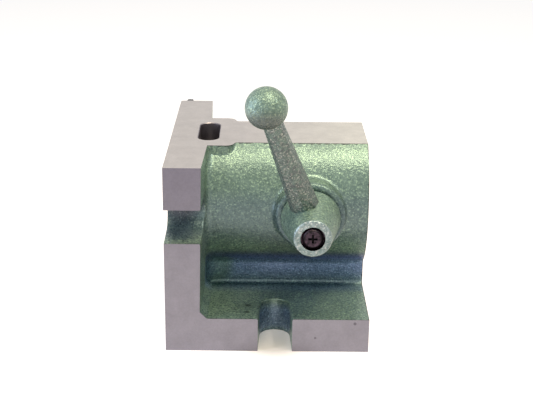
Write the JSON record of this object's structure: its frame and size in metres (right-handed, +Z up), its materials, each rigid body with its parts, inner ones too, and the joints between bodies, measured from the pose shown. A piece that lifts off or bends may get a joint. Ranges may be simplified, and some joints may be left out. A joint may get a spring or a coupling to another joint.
{
  "type": "collet fixture",
  "caption": "Green cast-iron collet fixture with a slotted base, a foot flange for upright use and a ball lever that closes the collet.",
  "frame": {"origin": "centre of the base's underside, straight below the barrel axis", "axes": "+X along the barrel axis towards the collet nose, -Y towards the lever, +Z up from the base"},
  "size_m": [0.108, 0.178, 0.15],
  "materials": {
    "painted_casting": "green hammer-effect paint on rough cast iron, with ground grey faces",
    "painted_lever": "green hammer-effect paint",
    "black_oxide_steel": "black oxide",
    "hardened_steel": "ground steel",
    "dark_steel": "turned steel, blackened",
    "bronze": "turned bronze"
  },
  "bodies": {
    "base": {"body": "painted_casting", "shaft_bush": "bronze", "shaft_screw": "black_oxide_steel", "thrust_washer": "hardened_steel", "retaining_ring": "dark_steel", "ring_screw": "black_oxide_steel"},
    "lever": {"lever": "painted_lever", "lever_key": "hardened_steel", "lever_washer": "black_oxide_steel", "lever_screw": "black_oxide_steel", "cam_shaft": "hardened_steel"},
    "block": {"cam_block": "hardened_steel"},
    "sleeve": {"closing_sleeve": "hardened_steel", "collet_key": "black_oxide_steel"},
    "nut": {"adjusting_nut": "dark_steel"}
  },
  "joints": [
    {"name": "lever_turn", "type": "hinge", "parent": "base", "child": "lever", "pos_m": [0.0225, -0.047, 0.068], "axis": [0, 1, 0], "range_deg": [-30, 75]},
    {"name": "block_pivot", "type": "hinge", "parent": "lever", "child": "block", "pos_m": [0.02174, -0.0207, 0.06985], "axis": [0, 1, 0], "range_deg": [-75, 30]},
    {"name": "sleeve_slide", "type": "slide", "parent": "base", "child": "sleeve", "axis": [1, 0, 0], "range_m": [-0.00094, 0.00236]},
    {"name": "nut_turn", "type": "hinge", "parent": "base", "child": "nut", "pos_m": [-0.0335, 0, 0.068], "axis": [1, 0, 0], "continuous": true}
  ],
  "couplings": [
    {"joint": "block_pivot", "follows": "lever_turn", "ratio": -1},
    {"joint": "sleeve_slide", "follows": "lever_turn", "m_per_rad": 0.0018}
  ]
}
